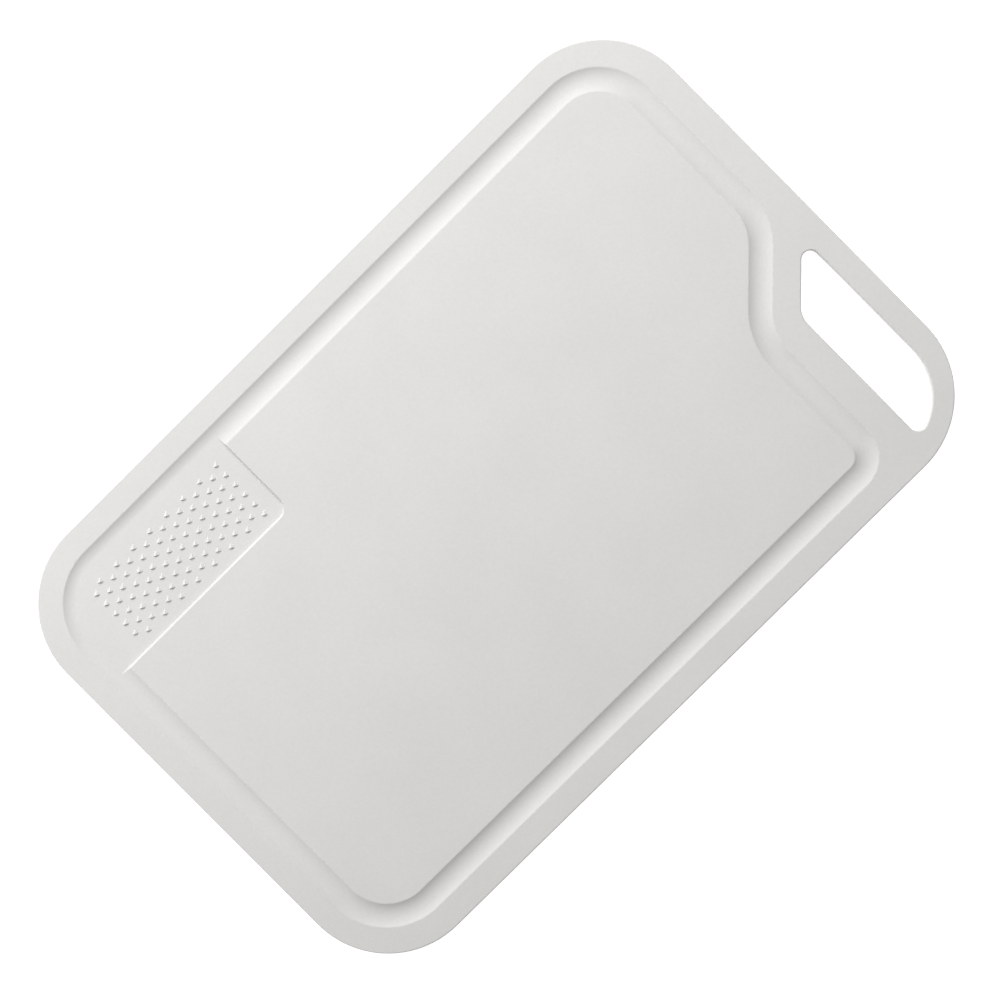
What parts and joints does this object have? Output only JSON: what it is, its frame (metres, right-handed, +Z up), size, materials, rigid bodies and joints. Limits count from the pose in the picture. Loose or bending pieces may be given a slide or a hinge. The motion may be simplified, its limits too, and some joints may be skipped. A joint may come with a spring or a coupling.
{
  "type": "cutting board",
  "caption": "Rounded rectangular plastic cutting board with a juice groove, a corner grater patch and a hand opening, standing on small rubber feet.",
  "frame": {"origin": "middle of the footprint, on the surface that the feet stand on", "axes": "+X along the length towards the end with the hand opening, +Y across the board towards the side with the grater patch, +Z up out of the cutting surface"},
  "size_m": [0.4, 0.26, 0.009],
  "materials": {
    "board_plastic": "light grey moulded polypropylene with a fine matte texture",
    "foot_rubber": "grey soft rubber, matte"
  },
  "bodies": {
    "root": {"board": "board_plastic", "foot_front_left": "foot_rubber", "foot_front_right": "foot_rubber", "foot_rear_left": "foot_rubber", "foot_rear_right": "foot_rubber"}
  },
  "joints": []
}
